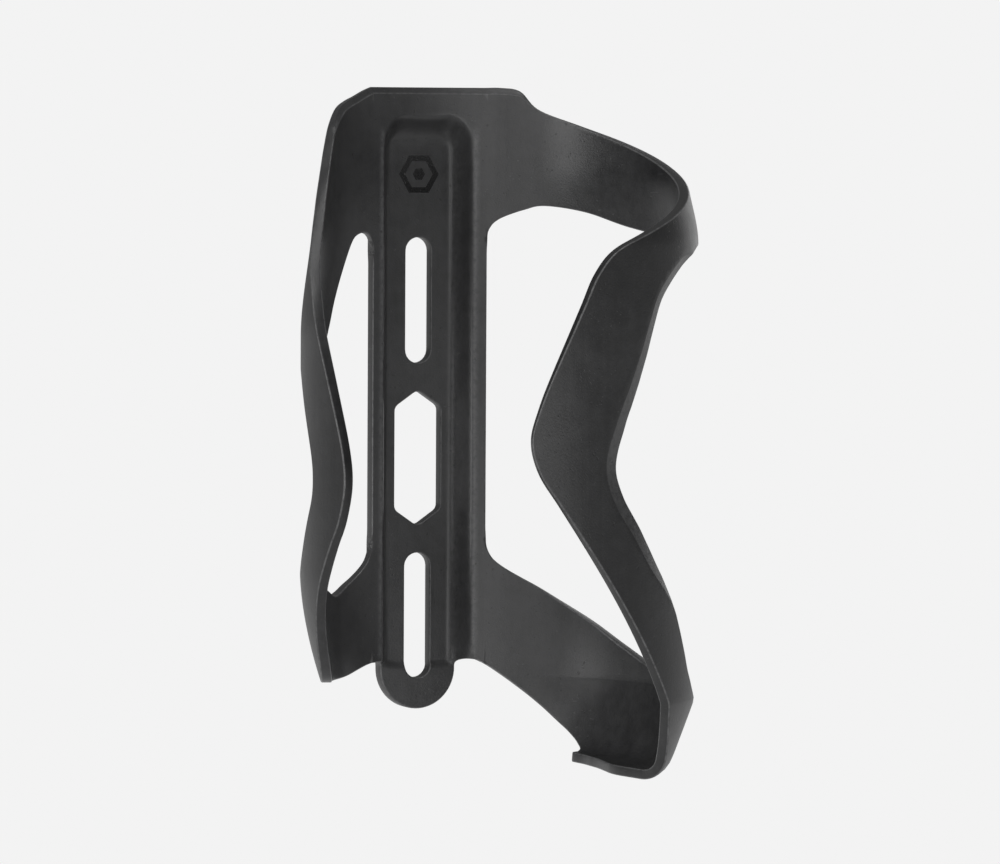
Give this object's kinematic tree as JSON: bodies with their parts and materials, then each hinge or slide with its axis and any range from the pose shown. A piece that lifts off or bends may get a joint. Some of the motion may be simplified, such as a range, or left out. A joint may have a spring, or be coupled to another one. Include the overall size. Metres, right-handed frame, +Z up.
{
  "type": "bottle cage",
  "caption": "Side-entry bottle cage: a slotted channel spine with two looped arms that wrap round the bottle and a small shelf beneath it.",
  "frame": {"origin": "midpoint between the two bolt slots, on the back face that lies on the frame tube", "axes": "+Z up along the tube and the bottle, +Y back into the tube, -Y out towards the bottle, +X to the closed side of the cage; the bottle goes in from the -X side"},
  "size_m": [0.0778, 0.0822, 0.136],
  "materials": {
    "moulding": "fine matte moulded texture, dark charcoal, slightly worn edges"
  },
  "bodies": {
    "spine": {"mounting_plate": "moulding", "channel_wall_right": "moulding", "channel_wall_left": "moulding", "shoulder_rail_right": "moulding", "shoulder_rail_left": "moulding", "channel_end": "moulding", "crown": "moulding"},
    "right_side": {"upper_wing_right": "moulding", "upper_arm_right": "moulding", "tip_right": "moulding", "lower_arm_right": "moulding", "foot_right": "moulding", "lower_wing_right": "moulding", "bottle_shelf": "moulding"},
    "left_side": {"upper_wing_left": "moulding", "upper_arm_left": "moulding", "tip_left": "moulding", "lower_arm_left": "moulding", "lower_wing_left": "moulding"}
  },
  "joints": [
    {"name": "right_spread", "type": "hinge", "parent": "spine", "child": "right_side", "pos_m": [0.0125, -0.00636, 0], "axis": [0, 0, 1], "range_deg": [0, 5], "stiffness_Nm_per_rad": 12},
    {"name": "left_spread", "type": "hinge", "parent": "spine", "child": "left_side", "pos_m": [-0.0125, -0.00636, 0], "axis": [0, 0, -1], "range_deg": [0, 5], "stiffness_Nm_per_rad": 12}
  ]
}
